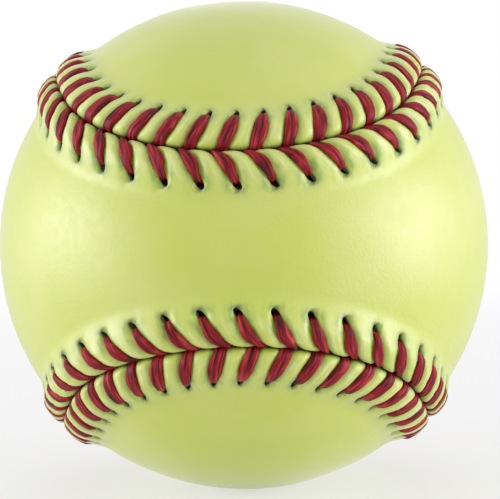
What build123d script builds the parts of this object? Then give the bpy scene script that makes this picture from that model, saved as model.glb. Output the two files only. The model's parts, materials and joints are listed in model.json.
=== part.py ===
"""Softball: a moulded core in a coat of cement, two leather cover panels and the two threads that sew them."""
import os
from math import atan2, cos, degrees, pi, radians, sin, sqrt

from build123d import *

os.makedirs("parts", exist_ok=True)

# Ball
circumference = 279.4
leather_thickness = 1.8
cement_thickness = 0.2
bond_clearance = 0.02

# Seam line, as angles at the centre of the ball: half of a panel's waist, and the lean of the runs between lobes
waist_half_angle = 19.4
crossing_lean = 6.3

# Raised seam: distances from the seam line along the leather, and heights above the plain leather
edge_height = 0.5
crest_distance = 2.6
crest_height = 1.6
hole_distance = 5.6
hole_height = 0.8
foot_reach = 2.4
foot_sink = 0.02

# Thread: flattened where it lies on the leather, bunched where it goes through
thread_width = 1.7
bunched_width = 1.1
thread_flat_share = 0.55
thread_thickness = 0.85
thread_clearance = 0.12

# Stitches: each leg slants along the seam by a share of the hole spacing
stitches_per_thread = 50
front_leg_slant = 1.0
rear_leg_slant = 0.5
tail_share = 0.35

# Sizes that follow
ball_radius = circumference / (2 * pi)
leather_inner_radius = ball_radius - leather_thickness
cement_outer_radius = leather_inner_radius - bond_clearance
core_radius = cement_outer_radius - cement_thickness
passage = thread_thickness + 2 * thread_clearance
foot_distance = hole_distance + foot_reach
channel_reach = hole_distance + passage
hidden_height = passage / 2 - leather_thickness
thread_lift = thread_thickness / 2 + thread_clearance
hole_count = 2 * stitches_per_thread
centre = Vector(0, 0, 0)


# Seam line: four round lobes joined by four great-circle runs, each quarter a turned mirror of the one before
class SeamRun:
    """One arc of the seam about an axis through the ball's centre, with the rear panel on the axis side."""

    def __init__(self, axis: Vector, start: Vector, sweep: float):
        self.axis = Axis(centre, axis)
        self.polar = radians(axis.get_angle(start))
        self.spoke = (start - axis * axis.dot(start)).normalized()
        self.sweep = sweep
        self.length = radians(sweep) * sin(self.polar) * ball_radius

    def frame(self, turn: float) -> tuple[Vector, Vector, Vector]:
        """Unit vectors at a turn along the arc: out of the ball, along the seam and across to the rear panel."""
        spoke = self.spoke.rotate(self.axis, turn)
        out = self.axis.direction * cos(self.polar) + spoke * sin(self.polar)
        along = self.axis.direction.cross(spoke)
        return out, along, out.cross(along)

    def section_plane(self) -> Plane:
        """Plane of the cross-section at the start, with X out of the ball and Y across to the rear panel."""
        out, along, _ = self.frame(0)
        return Plane(origin=centre, x_dir=out, z_dir=-along)


def quarter_turn(vector: Vector, quarters: int) -> Vector:
    """A quarter turn about Y with a flip along Y, which lays the seam on itself and swaps the two panels."""
    for _ in range(quarters):
        vector = Vector(vector.Z, -vector.Y, -vector.X)
    return vector


def seam_runs() -> list[SeamRun]:
    """The closed seam, from the upper lobe at the front and then to the right."""
    waist = radians(waist_half_angle)
    lean = radians(crossing_lean)
    crossing = Vector(sqrt(0.5), 0, sqrt(0.5))
    straight_axis = Vector(-cos(lean) * sqrt(0.5), -sin(lean), cos(lean) * sqrt(0.5))
    waist_middle = Vector(0, -cos(waist), sin(waist))
    waist_level = Vector(0, sin(waist), cos(waist))
    lobe = atan2(straight_axis.dot(waist_middle), 1 - straight_axis.dot(waist_level))
    lobe_axis = waist_middle * cos(lobe) + waist_level * sin(lobe)
    lobe_end = (lobe_axis - straight_axis * sin(lobe)).normalized()
    lobe_start = Vector(-lobe_end.X, lobe_end.Y, lobe_end.Z)
    lobe_spoke = waist_middle * sin(lobe) - waist_level * cos(lobe)
    lobe_sweep = 2 * degrees(atan2(lobe_end.X, lobe_end.dot(lobe_spoke)))
    straight_sweep = 2 * lobe_end.get_angle(crossing)
    runs = []
    for quarters in range(4):
        sense = (-1) ** quarters
        for axis, start, sweep in (
            (lobe_axis, lobe_start, lobe_sweep),
            (straight_axis, lobe_end, straight_sweep),
        ):
            runs.append(SeamRun(quarter_turn(axis, quarters) * sense, quarter_turn(start, quarters), sweep))
    return runs


seam = seam_runs()
seam_length = sum(run.length for run in seam)
pitch = seam_length / hole_count


def seam_frame(distance: float) -> tuple[Vector, Vector, Vector]:
    """The seam's frame at a distance along it from the middle of the first lobe, counted round and round."""
    distance = (distance + seam[0].length / 2) % seam_length
    for run in seam:
        if distance <= run.length:
            break
        distance -= run.length
    return run.frame(run.sweep * min(distance / run.length, 1))


def seam_point(distance: float, across: float, height: float) -> Vector:
    """A point by its distance along the seam, its distance across it and its height above the plain leather."""
    out, _, side = seam_frame(distance)
    turn = across / ball_radius
    return (out * cos(turn) + side * sin(turn)) * (ball_radius + height)


# Cross-sections of the seam, with X out of the ball and Y across
def section_point(across: float, height: float) -> Vector:
    turn = across / ball_radius
    return Vector(cos(turn), sin(turn)) * (ball_radius + height)


with BuildSketch() as raised_section:
    with BuildLine():
        crest = section_point(crest_distance, crest_height)
        level = crest.rotate(Axis.Z, 90)
        shoulder = TangentArc(crest, section_point(hole_distance, hole_height), tangent=level)
        flank = TangentArc(shoulder @ 1, section_point(foot_distance, -foot_sink), tangent=shoulder % 1)
        brow = TangentArc(crest, section_point(passage / 2, edge_height), tangent=-level)
        Polyline(
            brow @ 1,
            section_point(0, edge_height),
            section_point(0, -leather_thickness / 2),
            section_point(foot_distance, -leather_thickness / 2),
            flank @ 1,
        )
    make_face()
    mirror(about=Plane.XZ)

with BuildSketch() as channel_section:
    with BuildLine():
        roof_height = passage - leather_thickness
        floor_height = -leather_thickness - bond_clearance
        roof = ThreePointArc(
            section_point(-channel_reach, roof_height),
            section_point(0, roof_height),
            section_point(channel_reach, roof_height),
        )
        Polyline(
            roof @ 1,
            section_point(channel_reach + passage, floor_height),
            section_point(-channel_reach - passage, floor_height),
            roof @ 0,
        )
    make_face()

with BuildSketch() as gap_section:
    with Locations((ball_radius, 0)):
        Rectangle(2 * (leather_thickness + crest_height), passage)


# Core and its coat of cement
with BuildPart() as core:
    Sphere(core_radius)
core.part.label = "core"
export_step(core.part, "parts/core.step")

with BuildPart() as cement_coat:
    Sphere(cement_outer_radius)
    Sphere(core_radius, mode=Mode.SUBTRACT)
cement_coat.part.label = "cement_coat"
export_step(cement_coat.part, "parts/cement_coat.step")


# Covers: a leather sphere raised along the seam, hollowed for the core and the hidden thread, then parted
with BuildPart() as covers:
    Sphere(ball_radius)
    for run in seam:
        with BuildSketch(run.section_plane()):
            add(raised_section.sketch)
        revolve(axis=run.axis, revolution_arc=run.sweep)
    Sphere(leather_inner_radius, mode=Mode.SUBTRACT)
    for section in (channel_section, gap_section):
        for run in seam:
            with BuildSketch(run.section_plane()):
                add(section.sketch)
            revolve(axis=run.axis, revolution_arc=run.sweep, mode=Mode.SUBTRACT)

front_leather, rear_leather = covers.solids().sort_by(lambda solid: solid.bounding_box().size.Z)


def hole_planes(side: int) -> list[Plane]:
    """A plane at each awl hole of one panel, with X along the seam and Z out of the ball."""
    planes = []
    for hole in range(hole_count):
        middle = seam_point(hole * pitch, side * hole_distance, 0)
        planes.append(Plane(origin=middle, x_dir=seam_frame(hole * pitch)[1], z_dir=middle))
    return planes


with BuildPart() as cover_panel_front:
    add(front_leather)
    with BuildSketch(*hole_planes(-1)):
        Rectangle(bunched_width + 2 * thread_clearance, passage)
    extrude(amount=leather_thickness + crest_height, both=True, mode=Mode.SUBTRACT)
cover_panel_front.part.label = "cover_panel_front"
export_step(cover_panel_front.part, "parts/cover_panel_front.step")

with BuildPart() as cover_panel_rear:
    add(rear_leather)
    with BuildSketch(*hole_planes(1)):
        Rectangle(bunched_width + 2 * thread_clearance, passage)
    extrude(amount=leather_thickness + crest_height, both=True, mode=Mode.SUBTRACT)
cover_panel_rear.part.label = "cover_panel_rear"
export_step(cover_panel_rear.part, "parts/cover_panel_rear.step")


# Threads: out of a hole, over the leather, down the gap and under the other panel to its hole
def leg_stations(hole: int, side: int) -> list[Vector]:
    """One stitch leg from under its hole to the bottom of the gap: distance along, across and height."""
    slant = (front_leg_slant if side < 0 else rear_leg_slant) * pitch
    over_shoulder = shoulder @ 0.5
    profile = (
        (hole_distance, hidden_height),
        (hole_distance, hole_height + thread_lift + thread_clearance),
        (atan2(over_shoulder.Y, over_shoulder.X) * ball_radius, over_shoulder.length - ball_radius + thread_lift),
        (crest_distance, crest_height + thread_lift),
        (0, (edge_height + crest_height) / 2 + thread_lift),
        (0, hidden_height),
    )
    return [
        Vector(hole * pitch - slant * (1 - across / hole_distance), side * across, height)
        for across, height in profile
    ]


def thread_stations(first_side: int) -> list[Vector]:
    """A whole thread, leg after leg on alternate panels, with a tail under the leather at each end."""
    stations = []
    for leg in range(hole_count):
        stations += leg_stations(-leg, first_side * (-1) ** leg)
    last_pass = stations[0] - Vector(seam_length, 0, 0) - stations[-1]
    first_tail = stations[0] - last_pass * tail_share
    last_tail = stations[-1] + last_pass * tail_share
    return [first_tail, *stations, last_tail]


def thread_rings(stations: list[Vector]) -> list[list[Vector]]:
    """The corners of a mitred six-sided section at each station."""
    points = [seam_point(*station) for station in stations]
    ways = [(after - before).normalized() for before, after in zip(points, points[1:])]
    rings = []
    for station, point, way_in, way_out in zip(stations, points, ways[:1] + ways, ways + ways[-1:]):
        on_leather = hidden_height < station.Z and 0 < abs(station.Y) < hole_distance
        half_width = (thread_width if on_leather else bunched_width) / 2
        half_flat = half_width * thread_flat_share
        mitre = (way_in + way_out).normalized()
        half_thickness = thread_thickness / 2 / mitre.dot(way_out)
        plane = Plane(origin=point, x_dir=seam_frame(station.X)[1], z_dir=mitre)
        corners = (
            (half_width, 0),
            (half_flat, half_thickness),
            (-half_flat, half_thickness),
            (-half_width, 0),
            (-half_flat, -half_thickness),
            (half_flat, -half_thickness),
        )
        rings.append([plane.from_local_coords(Vector(*corner)) for corner in corners])
    return rings


def thread_solid(first_side: int) -> Solid:
    """One unbroken thread: flat triangles from ring to ring, closed at both ends."""
    rings = thread_rings(thread_stations(first_side))
    outlines = [rings[0], rings[-1]]
    for before, after in zip(rings, rings[1:]):
        for corner in range(len(before)):
            following = (corner + 1) % len(before)
            outlines.append([before[corner], before[following], after[following]])
            outlines.append([before[corner], after[following], after[corner]])
    return Solid(Shell([Face(Wire.make_polygon(outline, close=True)) for outline in outlines]))


front_first_thread = thread_solid(-1)
rear_first_thread = thread_solid(1)

with BuildPart() as thread_first:
    add(front_first_thread, clean=False)
thread_first.part.label = "thread_first"
export_step(thread_first.part, "parts/thread_first.step")

with BuildPart() as thread_second:
    add(rear_first_thread, clean=False)
thread_second.part.label = "thread_second"
export_step(thread_second.part, "parts/thread_second.step")

print("stitches per cover", hole_count, "hole spacing on the seam line", round(pitch, 2), "mm")
print("seam length", round(seam_length, 1), "mm, ball diameter", round(2 * ball_radius, 2), "mm")
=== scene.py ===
"""Looks of a softball: a sewn leather cover, waxed threads, the core inside and a plain studio."""

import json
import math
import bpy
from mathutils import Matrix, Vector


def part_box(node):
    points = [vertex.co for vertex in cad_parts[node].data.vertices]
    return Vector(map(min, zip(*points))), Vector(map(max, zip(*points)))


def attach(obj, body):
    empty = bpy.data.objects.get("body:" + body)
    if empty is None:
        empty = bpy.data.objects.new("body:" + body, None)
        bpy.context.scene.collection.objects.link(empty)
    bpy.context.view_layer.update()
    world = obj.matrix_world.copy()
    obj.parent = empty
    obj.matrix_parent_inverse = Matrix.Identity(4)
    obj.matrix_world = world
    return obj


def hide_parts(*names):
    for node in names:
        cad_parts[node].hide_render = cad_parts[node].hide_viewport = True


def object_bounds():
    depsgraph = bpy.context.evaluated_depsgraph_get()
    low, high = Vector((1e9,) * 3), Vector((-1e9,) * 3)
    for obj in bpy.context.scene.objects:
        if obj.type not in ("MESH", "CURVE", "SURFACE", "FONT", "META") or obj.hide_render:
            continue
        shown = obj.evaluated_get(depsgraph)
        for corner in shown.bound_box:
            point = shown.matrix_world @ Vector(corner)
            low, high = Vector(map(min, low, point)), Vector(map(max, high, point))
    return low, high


bl_info = {
    "name": "Softball",
    "version": (1, 0, 0),
    "blender": (4, 5, 0),
    "location": "3D View > Sidebar > Softball",
    "description": "Sews a leather cover with waxed thread around a softball core and sets a plain studio",
    "category": "Object",
}

import bpy
import numpy as np
from mathutils import Matrix, Vector

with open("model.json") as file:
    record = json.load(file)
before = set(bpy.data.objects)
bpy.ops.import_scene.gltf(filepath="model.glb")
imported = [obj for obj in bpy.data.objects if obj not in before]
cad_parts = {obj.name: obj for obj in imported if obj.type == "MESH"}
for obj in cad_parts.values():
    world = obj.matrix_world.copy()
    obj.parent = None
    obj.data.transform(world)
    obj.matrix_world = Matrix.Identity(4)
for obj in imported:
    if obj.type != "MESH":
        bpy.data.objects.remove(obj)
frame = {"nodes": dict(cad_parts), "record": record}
cad_box = [list(corner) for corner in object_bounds()]

MM = 0.001
BODY = "root"
FRONT = -1
REAR = 1

# The ball rests on its lowest point, and the cement fills the core out to the leather
BALL_RADIUS = -frame["record"]["mounts"][0]["pos_m"][2]
CEMENT_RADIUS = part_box("cement_coat")[1].z
FLOOR_HEIGHT = cad_box[0][2]

# Mesh counts: columns for each hole spacing, columns that meet one column of the plain field, and rows
COLUMNS_PER_HOLE = 16
COLUMNS_PER_FIELD_COLUMN = 4
FIELD_END_HOLES = 12
SLOPE_ROWS = 6
HOLE_HALF = 2
CREST_ROWS = 5
NOSE_ROWS = 8
PASSAGE_END_ROWS = 3
EDGE_ROW = SLOPE_ROWS + 2 * HOLE_HALF + CREST_ROWS + NOSE_ROWS

# Powers that shape the rolled edge, a leg's turn beside the gap and the ends of a panel's plain field
EDGE_ROUNDING = 0.6
TURN_SHARPNESS = 6
FIELD_END_FADE = 6

# Leather that a leg draws in: floor and rim of its groove and of its notch, in hole spacings from the leg
GROOVE_FLOOR = 0.13
GROOVE_RIM = 0.43
NOTCH_FLOOR = 0.08
NOTCH_RIM = 0.26

# How much narrower a groove is at its hole, and how far inside the foot of the raised leather it ends
GROOVE_NARROWING = 0.4
GROOVE_STOP = 1.0 * MM

# Slow waves of the leather: how many, their lengths and phase, and the depth at which they have faded out
WAVE_COUNT = 12
WAVE_SEED = 11
WAVE_LENGTHS = (9 * MM, 24 * MM)
WAVE_PHASE = 9
WAVE_FADE = 0.5 * MM

# Painted shade beside a leg starts and is full at these shares of a hole spacing from it, and the painted
# highlight on the tops between legs likewise
BESIDE_LEG = (0.46, 0.2)
BETWEEN_LEGS = (0.2, 0.44)

# Distances from the seam at which the painted shade beside legs fades and the painted highlight on the tops
# starts and fades, and reach of the painted shade round a hole
GROOVE_SHADE_END = (4.0 * MM, 7.5 * MM)
HIGHLIGHT_START = (0.5 * MM, 1.6 * MM)
HIGHLIGHT_END = (3.0 * MM, 6.2 * MM)
HOLE_SHADE_REACH = 1.5 * MM

# Painted black shade: its mark at a hole's far end, its heights in the gap, and the share past which a face
# counts as a cut edge in full shade
HOLE_END_WIDTH = 0.55 * MM
HOLE_END_REACH = 0.35 * MM
GAP_SHADE = (1.4 * MM, 0.4 * MM)
DEEP_SHADE_SHARE = 0.9

# Where a thread comes up beside the middle of its hole and starts to swell, and where it narrows at the gap
HOLE_SIDE = 0.45 * MM
BUNCHED_PAST_HOLE = 0.2 * MM
GAP_TAPER = (0.3 * MM, 2.2 * MM)

# Studio, in metres: the floor and its fade to white, and the picture's shift as shares of its width
FLOOR_SIZE = 4
FLOOR_FADE = (0.05, 0.7)
FLOOR_WHITE_NEAR_BALL = 0.6
PICTURE_SHIFT = (0.0124, -0.0095)
NEAR_CLIP = 0.01

# Half of a leg's cross-section, two plies and a crease, as shares of half its width and half its thickness
PLY_SECTION = ((1, 0), (0.84, 0.62), (0.46, 1), (0, 0.78), (-0.46, 1), (-0.84, 0.62))


def linear_colour(code):
    """An sRGB hex colour as the linear values that shaders take."""
    parts = [int(code[start:start + 2], 16) / 255 for start in (1, 3, 5)]
    return [part / 12.92 if part <= 0.04045 else ((part + 0.055) / 1.055) ** 2.4 for part in parts]


def length(name, description, millimetres):
    """A length that a user can change, given in millimetres and kept in metres."""
    return bpy.props.FloatProperty(
        name=name, description=description, default=millimetres * MM, min=0, precision=5, unit="LENGTH"
    )


def angle(name, description, degrees):
    """An angle that a user can change, given in degrees."""
    return bpy.props.FloatProperty(
        name=name, description=description, default=math.radians(degrees), precision=4, unit="ROTATION"
    )


def share(name, description, default):
    """A plain share of some other size."""
    return bpy.props.FloatProperty(
        name=name, description=description, default=default, min=0, subtype="FACTOR"
    )


def lamp_power(name, description, watts):
    """A lamp's power that a user can change."""
    return bpy.props.FloatProperty(
        name=name, description=description, default=watts, min=0, unit="POWER"
    )


def dye(name, description, code):
    """A colour that a user can change, given as an sRGB hex value."""
    return bpy.props.FloatVectorProperty(
        name=name, description=description, default=linear_colour(code), min=0, max=1, subtype="COLOR"
    )


class SoftballSeam(bpy.types.PropertyGroup):
    """Sizes of the seam line and of the leather that is drawn up along it."""

    waist_half_angle: angle("Waist half angle", "Half of a panel's waist, from the ball's centre", 19.4)
    crossing_lean: angle("Crossing lean", "Lean of the straight runs between the lobes", 6.3)
    hole_count: bpy.props.IntProperty(
        name="Holes", description="Awl holes along each panel", default=100, min=20
    )
    lip_gap: length("Lip gap", "From the seam line to the edge of the leather", 0.05)
    notch_depth: length("Notch depth", "How far a diving thread draws the edge back", 0.65)
    crest_distance: length("Crest distance", "From the seam line to the top of the raised leather", 2.6)
    crest_height: length("Crest height", "Height of the leather between two stitches", 2.3)
    nose_foot: length("Nose foot", "How far the rolled edge goes below the plain leather", 0.4)
    foot_reach: length("Foot reach", "From a hole out to where the leather lies flat", 3.3)
    groove_depth: length("Groove depth", "How deep a stitch draws the leather in at the crest", 0.86)
    front_holes: length("Front holes", "From the seam line to the middle of a hole, front panel", 5.1)
    rear_holes: length("Rear holes", "From the seam line to the middle of a hole, rear panel", 5.95)
    hole_length: length("Hole length", "Length of an awl hole across the seam", 2.1)
    hole_width: length("Hole width", "Width of an awl hole along the seam", 1.3)
    dimple_depth: length("Dimple depth", "How deep the thread draws the leather in at a hole", 0.3)
    dimple_radius: length("Dimple radius", "Reach of that dimple", 1.3)
    unevenness: length("Unevenness", "Height of the slow rise and fall of the leather", 0.06)
    collar_distance: length("Collar distance", "From the seam line to the plain field of the panel", 10.2)
    passage: length("Passage", "Room under the leather for the hidden thread", 1.09)
    bond_clearance: length("Bond clearance", "Between the leather and the cement", 0.02)


class SoftballThread(bpy.types.PropertyGroup):
    """Sizes of the two threads and of their stitches."""

    width: length("Width", "Width of a leg that lies on the leather", 2.15)
    thickness: length("Thickness", "Thickness of a leg", 0.9)
    bunched_width: length("Bunched width", "Width in a hole and where the thread lies hidden", 1.26)
    sink: length("Sink", "How far a leg presses into its groove", 0.05)
    front_slant: share("Front slant", "Slant of a leg on the front panel, in hole spacings", 0.76)
    rear_slant: share("Rear slant", "Slant of a leg on the rear panel, in hole spacings", 0.43)
    front_turn: share("Front turn", "Share of that slant in the turn beside the gap, front panel", 0.42)
    rear_turn: share("Rear turn", "Share of that slant in the turn beside the gap, rear panel", 0.1)
    front_tip: share("Front tip", "Share of its width that a leg keeps at the gap, front panel", 0.45)
    rear_tip: share("Rear tip", "Share of its width that a leg keeps at the gap, rear panel", 0.85)
    front_swell: length("Front swell", "From a hole to where a leg has its full width, front panel", 2.6)
    rear_swell: length("Rear swell", "From a hole to where a leg has its full width, rear panel", 2.2)
    looseness: share("Looseness", "How much the legs differ in width", 0.06)
    ply_shift: share("Ply shift", "How far the crease between the plies strays from the middle", 0.35)


class SoftballColours(bpy.types.PropertyGroup):
    """Dyes, raw colours, and the colours of painted shade, highlights and glints."""

    leather: dye("Leather", "Optic yellow dye", "#C4D443")
    leather_pale: dye("Pale leather", "Where the dye took less", "#D0DA6B")
    # Painted shade: a darker green in the grooves beside the legs and round the holes
    leather_groove_shade: dye("Deep leather", "Where the dye gathered beside the thread", "#86AC20")
    # Painted highlight: a near-white cream on the tops between two stitches
    leather_rubbed: dye("Rubbed leather", "Where handling paled the tops between two stitches", "#EEF2B4")
    # Painted shade: black inside the holes, in the gap and at each hole's far end
    hole_and_gap_shade: dye("Awl stain", "Inside of holes and of the gap", "#0B0B07")
    thread: dye("Thread", "Crimson dye of the thread", "#930F1B")
    # Painted glints: a lighter red on random fibres
    thread_glint: dye("Light fibre", "Fibres that catch the light", "#DC5052")
    # Painted shade in the crease between the plies, also used for random darker fibres
    thread_crease_shade: dye("Dark ply", "The crease between two plies", "#30040A")
    foam: dye("Foam", "Moulded core", "#EDE3C4")
    # A dark amber, darkened as painted shade for the bottoms of the awl holes
    cement: dye("Cement", "Dried contact cement", "#5E4420")
    floor: dye("Floor", "Pale studio floor", "#FAFAF8")


class SoftballStudio(bpy.types.PropertyGroup):
    """Where the camera stands, and how bright the lamps are."""

    distance: length("Distance", "From the ball's centre to the camera", 244.6)
    tilt: angle("Tilt", "Turn of the view about the line to the right", 0.80)
    swing: angle("Swing", "Turn of the view about the upright line", -1.24)
    roll: angle("Roll", "Turn of the view about the line of sight", 1.17)
    lens: bpy.props.FloatProperty(
        name="Lens", description="Focal length", default=95.1, min=1, unit="CAMERA"
    )
    left_lamp: lamp_power("Left lamp", "Strip light on the left", 4.8)
    right_lamp: lamp_power("Right lamp", "Strip light on the right", 5.4)
    top_lamp: lamp_power("Top lamp", "Fill light overhead", 0.95)
    lamp_colour: dye("Lamp colour", "Cool white of the lamps", "#F0E7FF")
    room_light: share("Room light", "Brightness of the pale room around the ball", 0.52)


# Seam line: four round lobes joined by four great-circle runs
def unit(vector):
    """A vector, or each row of vectors, at length 1."""
    return vector / np.linalg.norm(vector, axis=-1, keepdims=True)


def quarter_turn(vector, quarters):
    """A quarter turn about Y with a flip along Y, which lays the seam on itself and swaps the panels."""
    for _ in range(quarters):
        vector = np.array((vector[2], -vector[1], -vector[0]))
    return vector


def smooth_step(low, high, value):
    """0 at low, 1 at high, and an even S between them."""
    part = np.clip((value - low) / (high - low), 0, 1)
    return part * part * (3 - 2 * part)


def rolled_edge(roll):
    """Share of its reach that an edge has gone, and of its height that is left, at a roll angle."""
    return math.sin(roll) ** EDGE_ROUNDING, max(math.cos(roll), 0) ** EDGE_ROUNDING


class SeamLine:
    """The closed seam on the ball, measured from the middle of its upper front stretch to the right."""

    def __init__(self, seam, thread):
        self.sizes = seam
        self.thread = thread
        self.runs = []
        waist = seam.waist_half_angle
        lean = seam.crossing_lean
        half = math.sqrt(0.5)
        straight_axis = np.array((-math.cos(lean) * half, -math.sin(lean), math.cos(lean) * half))
        middle = np.array((0, -math.cos(waist), math.sin(waist)))
        level = np.array((0, math.sin(waist), math.cos(waist)))
        lobe = math.atan2(straight_axis @ middle, 1 - straight_axis @ level)
        lobe_axis = middle * math.cos(lobe) + level * math.sin(lobe)
        lobe_end = unit(lobe_axis - straight_axis * math.sin(lobe))
        lobe_start = lobe_end * (-1, 1, 1)
        lobe_spoke = middle * math.sin(lobe) - level * math.cos(lobe)
        lobe_sweep = 2 * math.atan2(lobe_end[0], lobe_end @ lobe_spoke)
        straight_sweep = 2 * math.acos(lobe_end @ (half, 0, half))
        for quarters in range(4):
            self.add_run(lobe_axis, lobe_start, lobe_sweep, quarters)
            self.add_run(straight_axis, lobe_end, straight_sweep, quarters)
        self.ends = np.cumsum([run[-1] for run in self.runs])
        self.length = self.ends[-1]
        self.pitch = self.length / seam.hole_count
        self.join = (seam.hole_count // 4 + 0.5) * self.pitch

    def add_run(self, axis, start, sweep, quarters):
        """Adds one arc, given for the first quarter of the seam and turned to its own."""
        axis = quarter_turn(axis, quarters) * (-1) ** quarters
        start = quarter_turn(start, quarters)
        polar = math.acos(axis @ start)
        spoke = unit(start - axis * (axis @ start))
        self.runs.append((axis, spoke, polar, sweep, sweep * math.sin(polar) * BALL_RADIUS))

    def frame(self, along):
        """Unit vectors at points of the seam: out of the ball, along the seam, across to the rear panel."""
        along = (np.asarray(along, float) + self.ends[0] / 2) % self.length
        which = np.minimum(np.searchsorted(self.ends, along, side="right"), len(self.runs) - 1)
        out = np.empty(along.shape + (3,))
        ahead = np.empty_like(out)
        for index, (axis, spoke, polar, sweep, run_length) in enumerate(self.runs):
            here = which == index
            turn = ((along[here] - self.ends[index] + run_length) / run_length * sweep)[:, None]
            turned = spoke * np.cos(turn) + np.cross(axis, spoke) * np.sin(turn)
            out[here] = axis * math.cos(polar) + turned * math.sin(polar)
            ahead[here] = np.cross(axis, turned)
        return out, ahead, np.cross(out, ahead)

    def place(self, along, across, height):
        """Points by distance along the seam, distance across it and height above the plain leather."""
        out, _, side = self.frame(along)
        turn = (across / BALL_RADIUS)[..., None]
        return (out * np.cos(turn) + side * np.sin(turn)) * (BALL_RADIUS + height)[..., None]

    def hole_distance(self, side):
        """From the seam line to the middle of a panel's holes."""
        return self.sizes.front_holes if side == FRONT else self.sizes.rear_holes

    def hole_lip(self, side):
        """From the seam line to the near edge of a panel's holes, where the legs come out."""
        return self.hole_distance(side) - self.sizes.hole_length / 2

    def slant_and_turn(self, side):
        """Slant of a panel's legs in hole spacings, and the share of it in their turn beside the gap."""
        thread = self.thread
        if side == FRONT:
            return thread.front_slant, thread.front_turn
        return thread.rear_slant, thread.rear_turn

    def leg_lead(self, side, inward):
        """How far a leg lies behind its hole at a distance from the seam, in hole spacings."""
        slant, turn = self.slant_and_turn(side)
        way = np.clip(1 - inward / self.hole_distance(side), 0, 1)
        return slant * (way * (1 - turn) + way ** TURN_SHARPNESS * turn)

    def hole_lean(self, side):
        """How far a hole leans along the seam for each length away from it, as its leg does there."""
        slant, turn = self.slant_and_turn(side)
        return slant * (1 - turn) * self.pitch / self.hole_distance(side)

    def off_leg(self, side, along, inward):
        """Distance from the middle of the nearest leg, in hole spacings."""
        return (along / self.pitch + self.leg_lead(side, inward) + 0.5) % 1 - 0.5

    def drawn_in(self, side, along, inward):
        """How far the stitches draw the leather in: 1 under a leg and 0 midway between two."""
        to_hole = smooth_step(self.sizes.crest_distance, self.hole_distance(side), inward)
        taper = 1 - GROOVE_NARROWING * to_hole
        off = np.abs(self.off_leg(side, along, inward))
        return 1 - smooth_step(GROOVE_FLOOR * taper, GROOVE_RIM * taper, off)

    def past_hole(self, along):
        """Distance along the seam from the middle of the nearest awl hole."""
        return ((along / self.pitch + 0.5) % 1 - 0.5) * self.pitch

    def hole_offset(self, side, along, inward):
        """Distance from the middle of the nearest awl hole."""
        return np.hypot(self.past_hole(along), inward - self.hole_distance(side))

    def leather_height(self, side, along, inward):
        """Height of the leather from its foot to its crest, with grooves for legs and dimples at holes."""
        sizes = self.sizes
        foot = self.hole_distance(side) + sizes.foot_reach
        ridge = sizes.crest_height * (1 - smooth_step(sizes.crest_distance, foot, inward))
        sewn = 1 - smooth_step(sizes.crest_distance, foot - GROOVE_STOP, inward)
        groove = sizes.groove_depth * sewn * self.drawn_in(side, along, inward)
        from_hole = self.hole_offset(side, along, inward)
        dimple = sizes.dimple_depth * np.exp(-(from_hole / sizes.dimple_radius) ** 2)
        return ridge - groove - dimple

    def nose(self, side, along, roll):
        """Distance and height of the edge that rolls down into the gap, at a roll angle from its crest."""
        sizes = self.sizes
        reach, drop = rolled_edge(roll)
        nominal = sizes.crest_distance + (sizes.lip_gap - sizes.crest_distance) * reach
        off = np.abs(self.off_leg(side, along, nominal))
        edge = sizes.lip_gap + sizes.notch_depth * (1 - smooth_step(NOTCH_FLOOR, NOTCH_RIM, off))
        inward = sizes.crest_distance + (edge - sizes.crest_distance) * reach
        top = self.leather_height(side, along, np.full_like(along, nominal))
        return inward, (top + sizes.nose_foot) * drop - sizes.nose_foot


# Modelling helpers
def deselect_all():
    """Leaves no object selected, so that an operator acts on nothing else."""
    bpy.ops.object.select_all(action="DESELECT")


def grid_sheet(name, points, **attributes):
    """A grid blank of rows and columns with each corner laid in its place, and its point attributes."""
    rows, columns = points.shape[:2]
    deselect_all()
    bpy.ops.mesh.primitive_grid_add(x_subdivisions=columns - 1, y_subdivisions=rows - 1)
    sheet = bpy.context.object
    sheet.name = name
    sheet.data.vertices.foreach_set("co", points.reshape(-1))
    for attribute_name, values in attributes.items():
        kind = "FLOAT_VECTOR" if values.ndim == 3 else "FLOAT"
        field = "vector" if values.ndim == 3 else "value"
        attribute = sheet.data.attributes.new(attribute_name, kind, "POINT")
        attribute.data.foreach_set(field, values.astype(np.float32).reshape(-1))
    return sheet


def edit_selected_faces(sheet, chosen, operator, **settings):
    """Selects faces by a mask and runs an edit-mode operator on them."""
    deselect_all()
    sheet.select_set(True)
    bpy.context.view_layer.objects.active = sheet
    bpy.ops.object.mode_set(mode="EDIT")
    bpy.ops.mesh.select_mode(type="FACE")
    bpy.ops.mesh.select_all(action="DESELECT")
    bpy.ops.object.mode_set(mode="OBJECT")
    sheet.data.polygons.foreach_set("select", chosen)
    bpy.ops.object.mode_set(mode="EDIT")
    operator(**settings)
    bpy.ops.object.mode_set(mode="OBJECT")


def join_and_close(sheets, name):
    """Joins sheets that meet point to point into one closed, smooth piece."""
    deselect_all()
    for sheet in sheets:
        sheet.select_set(True)
    piece = sheets[0]
    bpy.context.view_layer.objects.active = piece
    if len(sheets) > 1:
        bpy.ops.object.join()
    bpy.ops.object.mode_set(mode="EDIT")
    bpy.ops.mesh.select_all(action="SELECT")
    bpy.ops.mesh.remove_doubles(threshold=1e-6)
    bpy.ops.mesh.normals_make_consistent(inside=False)
    bpy.ops.object.mode_set(mode="OBJECT")
    bpy.ops.object.shade_smooth()
    piece.name = name
    piece.data.name = name
    return piece


def hand_over(piece, node_name, slot, *materials):
    """Gives a finished piece its materials and its body, and hides the node that it stands for."""
    piece.data.materials.clear()
    for material in materials:
        piece.data.materials.append(material)
    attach(piece, BODY)
    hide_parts(node_name)


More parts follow.
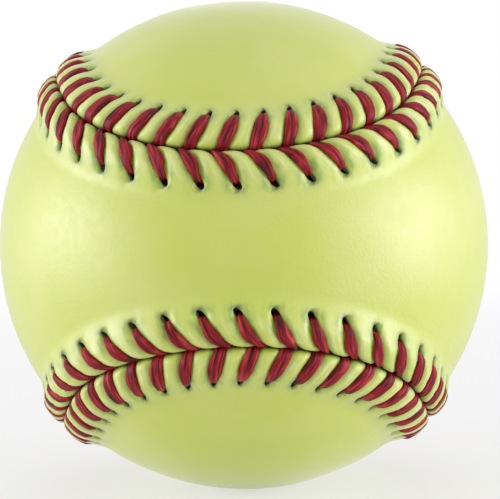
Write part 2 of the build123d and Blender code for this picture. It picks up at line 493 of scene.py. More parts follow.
# Cover panels
def margin_rows(line, side, along):
    """Distances from the seam and heights of a sewn margin, from its field over the edge to its lining."""
    sizes = line.sizes
    hole_rows = line.hole_distance(side) + sizes.hole_length / 2 * np.linspace(1, -1, 2 * HOLE_HALF + 1)
    slope = np.linspace(sizes.collar_distance, hole_rows[0], SLOPE_ROWS + 1)[:-1]
    crest = np.linspace(hole_rows[-1], sizes.crest_distance, CREST_ROWS + 1)[1:]
    inward = [np.full_like(along, row) for row in (*slope, *hole_rows, *crest)]
    height = [line.leather_height(side, along, row) for row in inward]
    for roll in np.linspace(0, math.pi / 2, NOSE_ROWS + 1)[1:]:
        row, row_height = line.nose(side, along, roll)
        inward.append(row)
        height.append(row_height)
    inner = CEMENT_RADIUS + sizes.bond_clearance - BALL_RADIUS
    roof = inner + sizes.passage
    reach = line.hole_distance(side) + sizes.passage
    under = [(row, roof) for row in (*hole_rows[::-1], reach)]
    under += [(row, inner) for row in (reach + sizes.passage, sizes.collar_distance)]
    inward.append(inward[-1])
    height.append(np.full_like(along, roof))
    for row, row_height in under:
        inward.append(np.full_like(along, row))
        height.append(np.full_like(along, row_height))
    return np.array(inward), np.array(height)


def round_the_holes(line, side, along, inward, height):
    """Draws the rim of each hole patch to an oval, on the outer leather and on the roof under it."""
    sizes = line.sizes
    columns = np.arange(sizes.hole_count) * COLUMNS_PER_HOLE + COLUMNS_PER_HOLE // 2
    hole_along = along[0, columns]
    outer_middle = SLOPE_ROWS + HOLE_HALF
    under_middle = len(inward) - 1 - PASSAGE_END_ROWS - HOLE_HALF
    for row in range(-HOLE_HALF, HOLE_HALF + 1):
        for column in range(-HOLE_HALF, HOLE_HALF + 1):
            if max(abs(row), abs(column)) < HOLE_HALF:
                continue
            out = sizes.hole_length / 2 * row / math.hypot(row, column)
            past = sizes.hole_width / 2 * column / math.hypot(row, column) + line.hole_lean(side) * out
            at = columns + column
            for middle, sense in ((outer_middle, -1), (under_middle, 1)):
                along[middle + sense * row, at] = hole_along + past
                inward[middle + sense * row, at] = line.hole_distance(side) + out
            height[outer_middle - row, at] = line.leather_height(
                side, along[outer_middle - row, at], inward[outer_middle - row, at]
            )
    return outer_middle, under_middle


def hole_patches(line, middle, rows, columns):
    """A mask of the grid faces that lie inside the rims of the hole patches."""
    mask = np.zeros((rows - 1, columns), bool)
    for column in range(-HOLE_HALF, HOLE_HALF):
        at = np.arange(line.sizes.hole_count) * COLUMNS_PER_HOLE + COLUMNS_PER_HOLE // 2 + column
        for row in range(-HOLE_HALF, HOLE_HALF):
            mask[middle + row, at] = True
    return mask.reshape(-1)


def seam_painted_light(line, side, along, inward, height):
    """Shares of painted shade beside legs and round holes, of painted black shade in holes and gap, and of
    painted highlight on the tops between legs, from 0 to 1, on the points of a sewn margin.
    """
    sizes = line.sizes
    off = np.abs(line.off_leg(side, along, inward))
    # Painted shade beside each leg and round each hole
    drawn = smooth_step(*BESIDE_LEG, off) * (1 - smooth_step(*GROOVE_SHADE_END, inward))
    holes = np.exp(-(line.hole_offset(side, along, inward) / HOLE_SHADE_REACH) ** 2)
    crease = np.clip(drawn + holes, 0, 1)
    crease[[0, -1]] = 0
    # Painted black shade low in the gap and at each hole's far end
    below = smooth_step(*GAP_SHADE, height) * (inward < sizes.crest_distance)
    from_middle = inward - line.hole_distance(side)
    past = (line.past_hole(along) - line.hole_lean(side) * from_middle) / HOLE_END_WIDTH
    beyond = (from_middle - sizes.hole_length / 2) / HOLE_END_REACH
    depth = np.maximum(below, np.exp(-past ** 2 - beyond ** 2))
    # Painted black shade from the foot of the rolled edge all along the underside
    depth[EDGE_ROW:] = 1
    depth[-1] = 0
    # Painted highlight on the tops between two stitches, near the crest
    near_crest = smooth_step(*HIGHLIGHT_START, inward) * (1 - smooth_step(*HIGHLIGHT_END, inward))
    return crease, depth, smooth_step(*BETWEEN_LEGS, off) * near_crest


def sewn_margin(line, side):
    """The leather beside the seam: raised, drawn in by the stitches, holed, and rolled into the gap."""
    sizes = line.sizes
    columns = sizes.hole_count * COLUMNS_PER_HOLE
    spacing = line.length / columns
    first_along = line.join + np.arange(columns) * spacing
    inward, height = margin_rows(line, side, first_along)
    along = np.tile(first_along, (len(inward), 1))
    outer_middle, under_middle = round_the_holes(line, side, along, inward, height)
    field_column = np.round(np.arange(columns) / COLUMNS_PER_FIELD_COLUMN)
    snapped = line.join + field_column * COLUMNS_PER_FIELD_COLUMN * spacing
    along[0] = snapped
    along[-1] = snapped
    grids = (along, inward, height, *seam_painted_light(line, side, along, inward, height))
    closed = [np.concatenate((grid, grid[:, :1]), axis=1) for grid in grids]
    along, inward, height, crease, depth, rub = closed
    points = line.place(along, side * inward, height)
    beside_legs = along + line.leg_lead(side, inward) * line.pitch
    pull = np.stack((beside_legs, inward, np.zeros_like(beside_legs)), axis=-1)
    margin = grid_sheet("margin", points, crease=crease, depth=depth, rub=rub, pull=pull)
    inner_patch = hole_patches(line, under_middle, len(inward), columns)
    outer_patch = hole_patches(line, outer_middle, len(inward), columns)
    edit_selected_faces(margin, inner_patch, bpy.ops.mesh.delete, type="FACE")
    edit_selected_faces(margin, outer_patch[~inner_patch], bpy.ops.mesh.extrude_region_move)
    # Hole walls run down to the roof and take the full painted black shade
    roof_radius = CEMENT_RADIUS + sizes.bond_clearance + sizes.passage
    for vertex in margin.data.vertices:
        if vertex.select:
            vertex.co *= roof_radius / vertex.co.length
            margin.data.attributes["depth"].data[vertex.index].value = 1
    chosen = np.empty(len(margin.data.polygons), bool)
    margin.data.polygons.foreach_get("select", chosen)
    edit_selected_faces(margin, chosen, bpy.ops.mesh.delete, type="FACE")
    return margin


def plain_field(line, side, radius):
    """The smooth middle of a panel: a four-sided grid between its long sides and the ends of its lobes."""
    sizes = line.sizes
    per_hole = COLUMNS_PER_HOLE // COLUMNS_PER_FIELD_COLUMN
    count = sizes.hole_count * per_hole
    end = FIELD_END_HOLES * per_hole
    long_side = count // 2 - end
    lobe_tip = 0 if side == REAR else count // 4
    steps = (np.arange(count + 1) + lobe_tip + end // 2) % count
    collar = np.full(count + 1, side * sizes.collar_distance)
    loop = unit(line.place(steps * line.length / count, collar, np.zeros(count + 1)))
    first_long = loop[:long_side + 1, None]
    second_end = loop[None, long_side:long_side + end + 1]
    second_long = loop[long_side + end:2 * long_side + end + 1][::-1, None]
    first_end = loop[2 * long_side + end:][::-1][None]
    down = np.linspace(0, 1, long_side + 1)[:, None, None]
    over = np.linspace(0, 1, end + 1)[None, :, None]
    rungs = first_long * (1 - over) + second_long * over
    first_bulge = first_end - (first_end[:, :1] * (1 - over) + first_end[:, -1:] * over)
    second_bulge = second_end - (second_end[:, :1] * (1 - over) + second_end[:, -1:] * over)
    first_fade = (1 - down) ** FIELD_END_FADE
    second_fade = down ** FIELD_END_FADE
    return unit(rungs + first_bulge * first_fade + second_bulge * second_fade) * radius


def cover_panel(line, side, name):
    """A whole panel: sewn margin, plain field and lining, closed into one piece."""
    inner_radius = CEMENT_RADIUS + line.sizes.bond_clearance
    sheets = [sewn_margin(line, side)]
    for sheet_name, radius in (("field", BALL_RADIUS), ("lining", inner_radius)):
        points = plain_field(line, side, radius)
        still = np.zeros(points.shape[:2])
        no_pull = np.zeros(points.shape)
        sheets.append(grid_sheet(sheet_name, points, crease=still, depth=still, rub=still, pull=no_pull))
    panel = join_and_close(sheets, name)
    settle_unevenly(panel, line.sizes)
    return panel


def settle_unevenly(panel, sizes):
    """A slow rise and fall of the leather, from a few fixed waves across the ball."""
    points = np.empty(len(panel.data.vertices) * 3)
    panel.data.vertices.foreach_get("co", points)
    points = points.reshape(-1, 3)
    reach = np.linalg.norm(points, axis=1, keepdims=True)
    outside = smooth_step(BALL_RADIUS - WAVE_FADE, BALL_RADIUS, reach)
    waves = np.random.default_rng(WAVE_SEED).normal(size=(WAVE_COUNT, 3))
    lengths = np.linspace(*WAVE_LENGTHS, WAVE_COUNT)
    swell = np.zeros_like(reach)
    for wave, wave_length in zip(unit(waves), lengths):
        turn = points @ wave * 2 * math.pi / wave_length + wave[0] * WAVE_PHASE
        swell[:, 0] += np.sin(turn) / WAVE_COUNT
    points *= 1 + swell * outside * 2 * sizes.unevenness / reach
    panel.data.vertices.foreach_set("co", points.reshape(-1))
    panel.data.update()


# Threads
def leg_rings(line, side):
    """One stitch, from under its hole to the bottom of the gap, as rings and their half widths.

    A ring holds its lead in hole spacings, its distance from the seam and its height.
    """
    sizes = line.sizes
    thread = line.thread
    half_thickness = thread.thickness / 2
    hidden = CEMENT_RADIUS + sizes.bond_clearance + sizes.passage / 2 - BALL_RADIUS
    hole_side = line.hole_distance(side) - HOLE_SIDE
    groove = []
    for inward in np.linspace(line.hole_lip(side), sizes.crest_distance, CREST_ROWS + 1):
        lead = line.leg_lead(side, inward)
        height = line.leather_height(side, np.array([-lead * line.pitch]), np.array([inward]))[0]
        groove.append((lead, inward, height))
    for roll in np.linspace(0, math.pi / 2, NOSE_ROWS + 1)[1:]:
        nominal = sizes.crest_distance + (sizes.lip_gap - sizes.crest_distance) * rolled_edge(roll)[0]
        lead = line.leg_lead(side, nominal)
        inward, height = line.nose(side, np.array([-lead * line.pitch]), roll)
        groove.append((lead, inward[0], height[0]))
    groove = np.array(groove)
    way = np.gradient(groove[:, 1:], axis=0)
    lift = unit(np.c_[way[:, 1], -way[:, 0]]) * (half_thickness - thread.sink)
    groove[:, 1:] += lift
    top = groove[0, 2]
    hole_lead = line.leg_lead(side, hole_side)
    start = [(hole_lead, hole_side, level) for level in (hidden, hidden / 2, top - half_thickness)]
    gap_lead = line.leg_lead(side, 0)
    end = [(gap_lead, groove[-1, 1], hidden / 2), (gap_lead, groove[-1, 1] / 2, hidden)]
    rings = np.vstack((start, groove, end))
    tip = thread.front_tip if side == FRONT else thread.rear_tip
    swell = thread.front_swell if side == FRONT else thread.rear_swell
    from_hole = smooth_step(hole_side + BUNCHED_PAST_HOLE, hole_side - swell, rings[:, 1])
    from_gap = tip + (1 - tip) * smooth_step(*GAP_TAPER, rings[:, 1])
    width = thread.bunched_width + (thread.width - thread.bunched_width) * from_hole
    width = np.maximum(width * from_gap, thread.bunched_width * tip)
    return rings, width / 2


def thread_piece(line, first_side, name, seed):
    """One unbroken thread, leg after leg on alternate panels, as a tube with two plies."""
    thread = line.thread
    luck = np.random.default_rng(seed)
    legs = {side: leg_rings(line, side) for side in (FRONT, REAR)}
    sewn = []
    for leg in range(line.sizes.hole_count):
        side = first_side * (-1) ** leg
        rings, widths = legs[side]
        looseness = 1 + luck.uniform(-1, 1) * thread.looseness
        ply_shift = luck.uniform(-1, 1) * thread.ply_shift
        sewn.append((
            (-leg - rings[:, 0]) * line.pitch,
            side * rings[:, 1],
            rings[:, 2],
            widths * looseness,
            np.full(len(rings), ply_shift),
        ))
    along, across, height, half_width, stray = map(np.concatenate, zip(*sewn))
    path = line.place(along, across, height)
    way = unit(np.gradient(path, axis=0))
    ahead = line.frame(along)[1]
    broad = unit(ahead - way * np.sum(ahead * way, axis=1, keepdims=True))
    thick = np.cross(way, broad)
    section = np.array(PLY_SECTION + tuple((-x, -y) for x, y in PLY_SECTION) + PLY_SECTION[:1])
    wide = half_width[:, None] * (section[:, 0] + stray[:, None] * (1 - section[:, 0] ** 2))
    deep = thread.thickness / 2 * section[:, 1]
    points = path[:, None] + broad[:, None] * wide[..., None] + thick[:, None] * deep[None, :, None]
    run = np.concatenate(([0], np.cumsum(np.linalg.norm(np.diff(path, axis=0), axis=1))))
    strand = np.zeros(points.shape)
    strand[..., 0] = wide + deep
    strand[..., 1] = run[:, None]
    # The third value marks the crease between the plies, where the thread material paints shade
    strand[..., 2] = section[:, 0] == 0
    tube = grid_sheet(name, points, strand=strand)
    caps = [end_cap(path[end], points[end], strand[end]) for end in (0, -1)]
    return join_and_close([tube, *caps], name)


def end_cap(middle, rim, strand):
    """A fan that closes a cut end of the thread."""
    points = np.array((np.tile(middle, (len(rim), 1)), rim))
    return grid_sheet("cap", points, strand=np.array((strand, strand)))


# Materials
def add_node(tree, kind, inputs=None, **settings):
    """Adds a node, sets it up and gives each input a link or a value."""
    node = tree.nodes.new(kind)
    for name, value in settings.items():
        setattr(node, name, value)
    for name, value in (inputs or {}).items():
        if isinstance(value, bpy.types.NodeSocket):
            tree.links.new(value, node.inputs[name])
        else:
            node.inputs[name].default_value = value
    return node


def new_material(name):
    """An empty node material with its output node."""
    material = bpy.data.materials.new(name)
    material.use_nodes = True
    material.node_tree.nodes.clear()
    return material, material.node_tree, add_node(material.node_tree, "ShaderNodeOutputMaterial")


def rgba(colour):
    """A colour that isn't see-through."""
    return (*colour, 1)


def dyed_leather(colours):
    """Full-grain leather, drum-dyed optic yellow and lightly waxed.

    The eye sees a satin skin with pores half a millimetre apart, dye that lies a little paler in slow
    patches, painted shade as greener smudges beside the legs and round the holes, painted highlights as
    pale streaks on the tops between two stitches, and painted black shade inside the awl holes, in the
    gap and at each hole's far end.
    """
    patch_size = 14 * MM
    mottle_size = 1.6 * MM
    wrinkle_width = 0.6 * MM
    wrinkle_length = 3.5 * MM
    pore_spacing = 0.55 * MM
    grain_depth = 0.05 * MM
    material, tree, output = new_material("dyed_leather")
    place = add_node(tree, "ShaderNodeTexCoord").outputs["Object"]
    crease = add_node(tree, "ShaderNodeAttribute", attribute_name="crease").outputs["Fac"]
    depth = add_node(tree, "ShaderNodeAttribute", attribute_name="depth").outputs["Fac"]
    rub = add_node(tree, "ShaderNodeAttribute", attribute_name="rub").outputs["Fac"]
    patches = add_node(tree, "ShaderNodeTexNoise", {
        "Vector": place, "Scale": 1 / patch_size, "Detail": 3.0,
    })
    mottle = add_node(tree, "ShaderNodeTexNoise", {
        "Vector": place, "Scale": 1 / mottle_size, "Detail": 4.0,
    })
    pull = add_node(tree, "ShaderNodeMapping", {
        "Vector": add_node(tree, "ShaderNodeAttribute", attribute_name="pull").outputs["Vector"],
        "Scale": (1 / wrinkle_width, 1 / wrinkle_length, 0),
    })
    wrinkles = add_node(tree, "ShaderNodeTexNoise", {
        "Vector": pull.outputs["Vector"], "Scale": 1.0, "Detail": 2.0,
    })
    pale = add_node(tree, "ShaderNodeMapRange", {
        "Value": patches.outputs["Fac"], "From Min": 0.42, "From Max": 0.68, "To Max": 0.55,
    })
    dyed = add_node(tree, "ShaderNodeMix", {
        0: pale.outputs["Result"], 6: rgba(colours.leather), 7: rgba(colours.leather_pale),
    }, data_type="RGBA")
    uneven = add_node(tree, "ShaderNodeMath", {
        0: mottle.outputs["Fac"], 1: wrinkles.outputs["Fac"],
    }, operation="ADD")
    # Painted shade: a darker green beside the legs and round the holes, broken up by noise
    groove_shade_breakup = add_node(tree, "ShaderNodeMapRange", {
        "Value": uneven.outputs[0], "From Min": 0.82, "From Max": 1.14, "To Min": 0.1, "To Max": 0.95,
    })
    gathered = add_node(tree, "ShaderNodeMath", {
        0: crease, 1: groove_shade_breakup.outputs["Result"],
    }, operation="MULTIPLY")
    groove_shaded = add_node(tree, "ShaderNodeMix", {
        0: gathered.outputs[0], 6: dyed.outputs[2], 7: rgba(colours.leather_groove_shade),
    }, data_type="RGBA")
    # Painted highlight: pale streaks on the tops between two stitches
    highlight_streak = add_node(tree, "ShaderNodeMapRange", {
        "Value": wrinkles.outputs["Fac"], "From Min": 0.42, "From Max": 0.72, "To Max": 0.6,
    })
    top_highlight_share = add_node(tree, "ShaderNodeMath", {
        0: rub, 1: highlight_streak.outputs["Result"],
    }, operation="MULTIPLY")
    rubbed = add_node(tree, "ShaderNodeMix", {
        0: top_highlight_share.outputs[0], 6: groove_shaded.outputs[2], 7: rgba(colours.leather_rubbed),
    }, data_type="RGBA")
    # Painted black shade inside the holes, in the gap and at each hole's far end
    black_shaded = add_node(tree, "ShaderNodeMix", {
        0: depth, 6: rubbed.outputs[2], 7: rgba(colours.hole_and_gap_shade),
    }, data_type="RGBA")
    pores = add_node(tree, "ShaderNodeTexVoronoi", {"Vector": place, "Scale": 1 / pore_spacing})
    grain = add_node(tree, "ShaderNodeMath", {
        0: pores.outputs["Distance"], 1: mottle.outputs["Fac"],
    }, operation="ADD")
    pulled = add_node(tree, "ShaderNodeMath", {
        0: crease, 1: wrinkles.outputs["Fac"],
    }, operation="MULTIPLY")
    relief = add_node(tree, "ShaderNodeMath", {
        0: pulled.outputs[0], 1: 5.0, 2: grain.outputs[0],
    }, operation="MULTIPLY_ADD")
    bump = add_node(tree, "ShaderNodeBump", {
        "Height": relief.outputs[0], "Strength": 0.35, "Distance": grain_depth,
    })
    gloss = add_node(tree, "ShaderNodeMapRange", {
        "Value": mottle.outputs["Fac"], "From Min": 0.3, "From Max": 0.7, "To Min": 0.48, "To Max": 0.6,
    })
    shader = add_node(tree, "ShaderNodeBsdfPrincipled", {
        "Base Color": black_shaded.outputs[2],
        "Roughness": gloss.outputs["Result"],
        "Normal": bump.outputs["Normal"],
        "IOR": 1.5,
        "Specular IOR Level": 1.0,
        "Coat Weight": 0.9,
        "Coat Roughness": 0.5,
        "Coat Normal": bump.outputs["Normal"],
        "Sheen Weight": 0.5,
        "Sheen Roughness": 0.35,
    })
    tree.links.new(shader.outputs["BSDF"], output.inputs["Surface"])
    return material


def shaded_leather_edge(colours):
    """Cut leather without its finish, painted black as shade: a dull, fibrous edge in holes and gap."""
    fibre_size = 0.3 * MM
    fibre_depth = 0.1 * MM
    material, tree, output = new_material("shaded_leather_edge")
    place = add_node(tree, "ShaderNodeTexCoord").outputs["Object"]
    fibres = add_node(tree, "ShaderNodeTexNoise", {
        "Vector": place, "Scale": 1 / fibre_size, "Detail": 4.0,
    })
    bump = add_node(tree, "ShaderNodeBump", {
        "Height": fibres.outputs["Fac"], "Strength": 0.8, "Distance": fibre_depth,
    })
    shader = add_node(tree, "ShaderNodeBsdfPrincipled", {
        "Base Color": rgba(colours.hole_and_gap_shade),
        "Roughness": 0.95,
        "Specular IOR Level": 0.1,
        "Normal": bump.outputs["Normal"],
    })
    tree.links.new(shader.outputs["BSDF"], output.inputs["Surface"])
    return material


def shade_deep_faces(panel):
    """Gives the second material, black painted shade, to the faces that lie deep in a hole or in the gap.
    """
    mesh = panel.data
    depth = np.empty(len(mesh.vertices), np.float32)
    mesh.attributes["depth"].data.foreach_get("value", depth)
    for face in mesh.polygons:
        face.material_index = int(min(depth[vertex] for vertex in face.vertices) > DEEP_SHADE_SHARE)


def waxed_thread(colours):
    """Two-ply polyester thread, dyed crimson and drawn through wax.

    The eye sees fine fibres that run along each ply, painted glints on some and darker ones at random,
    painted shade in the crease between the plies and a dull waxy gloss. Fibres are drawn three times as
    coarse as real ones, so that they show.
    """
    fibre_width = 0.36 * MM
    fibre_length = 4 * MM
    fibre_depth = 0.12 * MM
    material, tree, output = new_material("waxed_thread")
    strand = add_node(tree, "ShaderNodeAttribute", attribute_name="strand").outputs["Vector"]
    parts = add_node(tree, "ShaderNodeSeparateXYZ", {"Vector": strand})
    drawn_out = add_node(tree, "ShaderNodeMapping", {
        "Vector": strand, "Scale": (1 / fibre_width, 1 / fibre_length, 0),
    })
    fibres = add_node(tree, "ShaderNodeTexNoise", {
        "Vector": drawn_out.outputs["Vector"], "Scale": 1.0, "Detail": 3.0,
    })
    # Painted glints: lighter red on random fibres
    light = add_node(tree, "ShaderNodeMapRange", {
        "Value": fibres.outputs["Fac"], "From Min": 0.52, "From Max": 0.7, "To Max": 0.8,
    })
    dark = add_node(tree, "ShaderNodeMapRange", {
        "Value": fibres.outputs["Fac"], "From Min": 0.49, "From Max": 0.34, "To Max": 0.95,
    })
    spun = add_node(tree, "ShaderNodeMix", {
        0: light.outputs["Result"], 6: rgba(colours.thread), 7: rgba(colours.thread_glint),
    }, data_type="RGBA")
    # Painted shade in the crease between the plies, plus random darker fibres
    crease = add_node(tree, "ShaderNodeMath", {
        0: parts.outputs["Z"], 1: 0.45, 2: dark.outputs["Result"],
    }, operation="MULTIPLY_ADD", use_clamp=True)
    plied = add_node(tree, "ShaderNodeMix", {
        0: crease.outputs[0], 6: spun.outputs[2], 7: rgba(colours.thread_crease_shade),
    }, data_type="RGBA")
    bump = add_node(tree, "ShaderNodeBump", {
        "Height": fibres.outputs["Fac"], "Strength": 0.8, "Distance": fibre_depth,
    })
    shader = add_node(tree, "ShaderNodeBsdfPrincipled", {
        "Base Color": plied.outputs[2],
        "Roughness": 0.5,
        "Normal": bump.outputs["Normal"],
        "Specular IOR Level": 0.25,
    })
    tree.links.new(shader.outputs["BSDF"], output.inputs["Surface"])
    return material


def moulded_foam(colours):
    """Polyurethane foam, moulded solid: a matt cream skin with fine closed cells and faint flow clouds."""
    cell_size = 0.8 * MM
    cell_depth = 0.1 * MM
    cloud_size = 9 * MM
    cloud_tone = [part * 0.8 for part in colours.foam]
    material, tree, output = new_material("moulded_polyurethane_foam")
    place = add_node(tree, "ShaderNodeTexCoord").outputs["Object"]
    cells = add_node(tree, "ShaderNodeTexVoronoi", {"Vector": place, "Scale": 1 / cell_size})
    clouds = add_node(tree, "ShaderNodeTexNoise", {
        "Vector": place, "Scale": 1 / cloud_size, "Detail": 3.0,
    })
    tone = add_node(tree, "ShaderNodeMix", {
        0: clouds.outputs["Fac"], 6: rgba(colours.foam), 7: rgba(cloud_tone),
    }, data_type="RGBA")
    bump = add_node(tree, "ShaderNodeBump", {
        "Height": cells.outputs["Distance"], "Strength": 0.4, "Distance": cell_depth,
    })
    shader = add_node(tree, "ShaderNodeBsdfPrincipled", {
        "Base Color": tone.outputs[2], "Roughness": 0.8, "Normal": bump.outputs["Normal"],
    })
    tree.links.new(shader.outputs["BSDF"], output.inputs["Surface"])
    return material


def contact_cement(colours):
    """Brushed contact cement, dried: an amber film with soft brush ridges and a rubbery gloss, its amber
    darkened as painted shade where it shows at the bottoms of the awl holes.
    """
    ridge_width = 1.2 * MM
    ridge_length = 6 * MM
    ridge_depth = 0.1 * MM
    ridge_tone = [part * 0.7 for part in colours.cement]
    material, tree, output = new_material("contact_cement")
    place = add_node(tree, "ShaderNodeTexCoord").outputs["Object"]
    brushed = add_node(tree, "ShaderNodeMapping", {
        "Vector": place, "Scale": (1 / ridge_length, 1 / ridge_width, 1 / ridge_length),
    })
    ridges = add_node(tree, "ShaderNodeTexNoise", {
        "Vector": brushed.outputs["Vector"], "Scale": 1.0, "Detail": 2.0,
    })
    tone = add_node(tree, "ShaderNodeMix", {
        0: ridges.outputs["Fac"], 6: rgba(colours.cement), 7: rgba(ridge_tone),
    }, data_type="RGBA")
    bump = add_node(tree, "ShaderNodeBump", {
        "Height": ridges.outputs["Fac"], "Strength": 0.5, "Distance": ridge_depth,
    })
    shader = add_node(tree, "ShaderNodeBsdfPrincipled", {
        "Base Color": tone.outputs[2], "Roughness": 0.35, "Normal": bump.outputs["Normal"],
    })
    tree.links.new(shader.outputs["BSDF"], output.inputs["Surface"])
    return material


def seen_directly(tree):
    """1 for rays from the camera, a mirror or glass, so that the background is white there too."""
    path = add_node(tree, "ShaderNodeLightPath")
    straight = add_node(tree, "ShaderNodeMath", {
        0: path.outputs["Is Camera Ray"], 1: path.outputs["Is Glossy Ray"],
    }, operation="MAXIMUM")
    return add_node(tree, "ShaderNodeMath", {
        0: straight.outputs[0], 1: path.outputs["Is Transmission Ray"],
    }, operation="MAXIMUM").outputs[0]


def painted_floor(colours):
    """A matt painted studio floor that keeps the ball's shadow and fades to plain white away from it."""
    roller_stipple = 3 * MM
    stipple_depth = 0.1 * MM
    near, far = FLOOR_FADE
    material, tree, output = new_material("painted_floor")
    place = add_node(tree, "ShaderNodeTexCoord").outputs["Object"]
    roller = add_node(tree, "ShaderNodeTexNoise", {
        "Vector": place, "Scale": 1 / roller_stipple, "Detail": 2.0,
    })
    bump = add_node(tree, "ShaderNodeBump", {
        "Height": roller.outputs["Fac"], "Strength": 0.1, "Distance": stipple_depth,
    })
    paint = add_node(tree, "ShaderNodeBsdfPrincipled", {
        "Base Color": rgba(colours.floor), "Roughness": 0.7, "Normal": bump.outputs["Normal"],
    })
    white = add_node(tree, "ShaderNodeEmission", {"Color": (1, 1, 1, 1), "Strength": 1.0})
    away = add_node(tree, "ShaderNodeVectorMath", {0: place}, operation="LENGTH")
    fade = add_node(tree, "ShaderNodeMapRange", {
        "Value": away.outputs["Value"],
        "From Min": near,
        "From Max": far,
        "To Min": FLOOR_WHITE_NEAR_BALL,
        "To Max": 1.0,
    })
    seen = add_node(tree, "ShaderNodeMath", {
        0: seen_directly(tree), 1: fade.outputs["Result"],
    }, operation="MULTIPLY")
    surface = add_node(tree, "ShaderNodeMixShader", {
        0: seen.outputs[0], 1: paint.outputs["BSDF"], 2: white.outputs["Emission"],
    })
    tree.links.new(surface.outputs["Shader"], output.inputs["Surface"])
    return material


def pale_room(strength):
    """A pale room that lights the ball softly, and is white where it is seen."""
    world = bpy.data.worlds.new("pale_room")
    world.use_nodes = True
    tree = world.node_tree
    tree.nodes.clear()
    lighting = add_node(tree, "ShaderNodeBackground", {"Color": (1, 1, 1, 1), "Strength": strength})
    white = add_node(tree, "ShaderNodeBackground", {"Color": (1, 1, 1, 1), "Strength": 1.0})
    mix = add_node(tree, "ShaderNodeMixShader", {
        0: seen_directly(tree), 1: lighting.outputs["Background"], 2: white.outputs["Background"],
    })
    add_node(tree, "ShaderNodeOutputWorld", {"Surface": mix.outputs["Shader"]})
    bpy.context.scene.world = world


def soft_lamp(name, power, colour, azimuth, elevation, distance, width, height):
    """A rectangular soft lamp that faces the ball; azimuth 0 is in front of it and 90 on its right."""
    across = math.radians(azimuth)
    up = math.radians(elevation)
    level = math.cos(up)
    place = Vector((math.sin(across) * level, -math.cos(across) * level, math.sin(up))) * distance
    bpy.ops.object.light_add(type="AREA", location=place)
    lamp = bpy.context.object
    lamp.name = name
    lamp.rotation_euler = place.to_track_quat("Z", "Y").to_euler()
    lamp.data.shape = "RECTANGLE"
    lamp.data.size = width
    lamp.data.size_y = height
    lamp.data.energy = power
    lamp.data.color = colour


# Operators
class SOFTBALL_OT_core(bpy.types.Operator):
    """Finish the moulded core and its coat of cement"""

    bl_idname = "softball.core"
    bl_label = "Finish Core"

    def execute(self, context):
        colours = context.scene.softball_colours
        finishes = {"core": moulded_foam(colours), "cement_coat": contact_cement(colours)}
        for node_name, material in finishes.items():
            node = frame["nodes"][node_name]
            node.data.materials.clear()
            node.data.materials.append(material)
        return {"FINISHED"}


class SOFTBALL_OT_cover_panels(bpy.types.Operator):
    """Cut, hole and lay the two leather panels of the cover"""

    bl_idname = "softball.cover_panels"
    bl_label = "Lay Cover Panels"

    def execute(self, context):
        scene = context.scene
        line = SeamLine(scene.softball_seam, scene.softball_thread)
        leather = dyed_leather(scene.softball_colours)
        shaded_edge = shaded_leather_edge(scene.softball_colours)
        for side, node_name in ((FRONT, "cover_panel_front"), (REAR, "cover_panel_rear")):
            panel = cover_panel(line, side, "leather_panel_" + node_name.rsplit("_", 1)[-1])
            hand_over(panel, node_name, "cover", leather, shaded_edge)
            shade_deep_faces(panel)
        return {"FINISHED"}


class SOFTBALL_OT_threads(bpy.types.Operator):
    """Sew the two waxed threads through both panels"""

    bl_idname = "softball.threads"
    bl_label = "Sew Threads"

    def execute(self, context):
        scene = context.scene
        line = SeamLine(scene.softball_seam, scene.softball_thread)
        thread = waxed_thread(scene.softball_colours)
        for seed, (side, node_name) in enumerate(((FRONT, "thread_first"), (REAR, "thread_second"))):
            piece = thread_piece(line, side, "waxed_" + node_name, seed)
            hand_over(piece, node_name, "thread", thread)
        return {"FINISHED"}


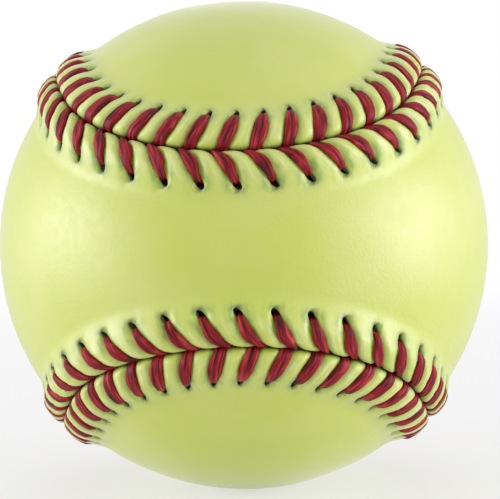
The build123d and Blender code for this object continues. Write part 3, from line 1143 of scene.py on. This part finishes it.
class SOFTBALL_OT_stage(bpy.types.Operator):
    """Set the floor, the lamps, the pale room and the camera"""

    bl_idname = "softball.stage"
    bl_label = "Set Stage"

    def execute(self, context):
        scene = context.scene
        studio = scene.softball_studio
        deselect_all()
        bpy.ops.mesh.primitive_plane_add(size=FLOOR_SIZE, location=(0, 0, FLOOR_HEIGHT))
        floor = context.object
        floor.name = "floor"
        floor.data.materials.append(painted_floor(scene.softball_colours))
        colour = studio.lamp_colour
        strip = {"elevation": -5, "distance": 0.6, "width": 0.42, "height": 0.5}
        fill = {"elevation": 78, "distance": 0.9, "width": 1.0, "height": 0.8}
        soft_lamp("left_strip", studio.left_lamp, colour, azimuth=-80, **strip)
        soft_lamp("right_strip", studio.right_lamp, colour, azimuth=76, **strip)
        soft_lamp("top_fill", studio.top_lamp, colour, azimuth=0, **fill)
        pale_room(studio.room_light)
        bpy.ops.object.camera_add()
        camera = context.object
        camera.name = "camera"
        camera.data.lens = studio.lens
        camera.data.sensor_fit = "HORIZONTAL"
        camera.data.shift_x, camera.data.shift_y = PICTURE_SHIFT
        camera.data.clip_start = NEAR_CLIP
        turn = (
            Matrix.Rotation(studio.roll, 3, "Z")
            @ Matrix.Rotation(studio.swing, 3, "Y")
            @ Matrix.Rotation(studio.tilt, 3, "X")
        )
        facing = Matrix(((1, 0, 0), (0, 0, -1), (0, 1, 0)))
        view = facing @ turn.transposed()
        camera.matrix_world = Matrix.Translation(view.col[2] * studio.distance) @ view.to_4x4()
        scene.camera = camera
        scene.view_settings.view_transform = "Standard"
        return {"FINISHED"}


class SOFTBALL_PT_sidebar(bpy.types.Panel):
    """Lists the steps of the softball and the sizes and colours behind them"""

    bl_label = "Softball"
    bl_idname = "SOFTBALL_PT_sidebar"
    bl_space_type = "VIEW_3D"
    bl_region_type = "UI"
    bl_category = "Softball"

    def draw(self, context):
        for step in STEPS:
            self.layout.operator(step.bl_idname)
        for name, group in GROUPS.items():
            box = self.layout.box()
            box.label(text=group.__doc__)
            for field in group.__annotations__:
                box.prop(getattr(context.scene, name), field)


GROUPS = {
    "softball_seam": SoftballSeam,
    "softball_thread": SoftballThread,
    "softball_colours": SoftballColours,
    "softball_studio": SoftballStudio,
}
STEPS = (SOFTBALL_OT_core, SOFTBALL_OT_cover_panels, SOFTBALL_OT_threads, SOFTBALL_OT_stage)


def register():
    for name, group in GROUPS.items():
        bpy.utils.register_class(group)
        setattr(bpy.types.Scene, name, bpy.props.PointerProperty(type=group))
    for made in (*STEPS, SOFTBALL_PT_sidebar):
        bpy.utils.register_class(made)


def unregister():
    for made in (SOFTBALL_PT_sidebar, *STEPS):
        bpy.utils.unregister_class(made)
    for name, group in GROUPS.items():
        delattr(bpy.types.Scene, name)
        bpy.utils.unregister_class(group)


def main():
    register()
    bpy.ops.softball.core()
    bpy.ops.softball.cover_panels()
    bpy.ops.softball.threads()
    bpy.ops.softball.stage()


if __name__ == "__main__":
    main()
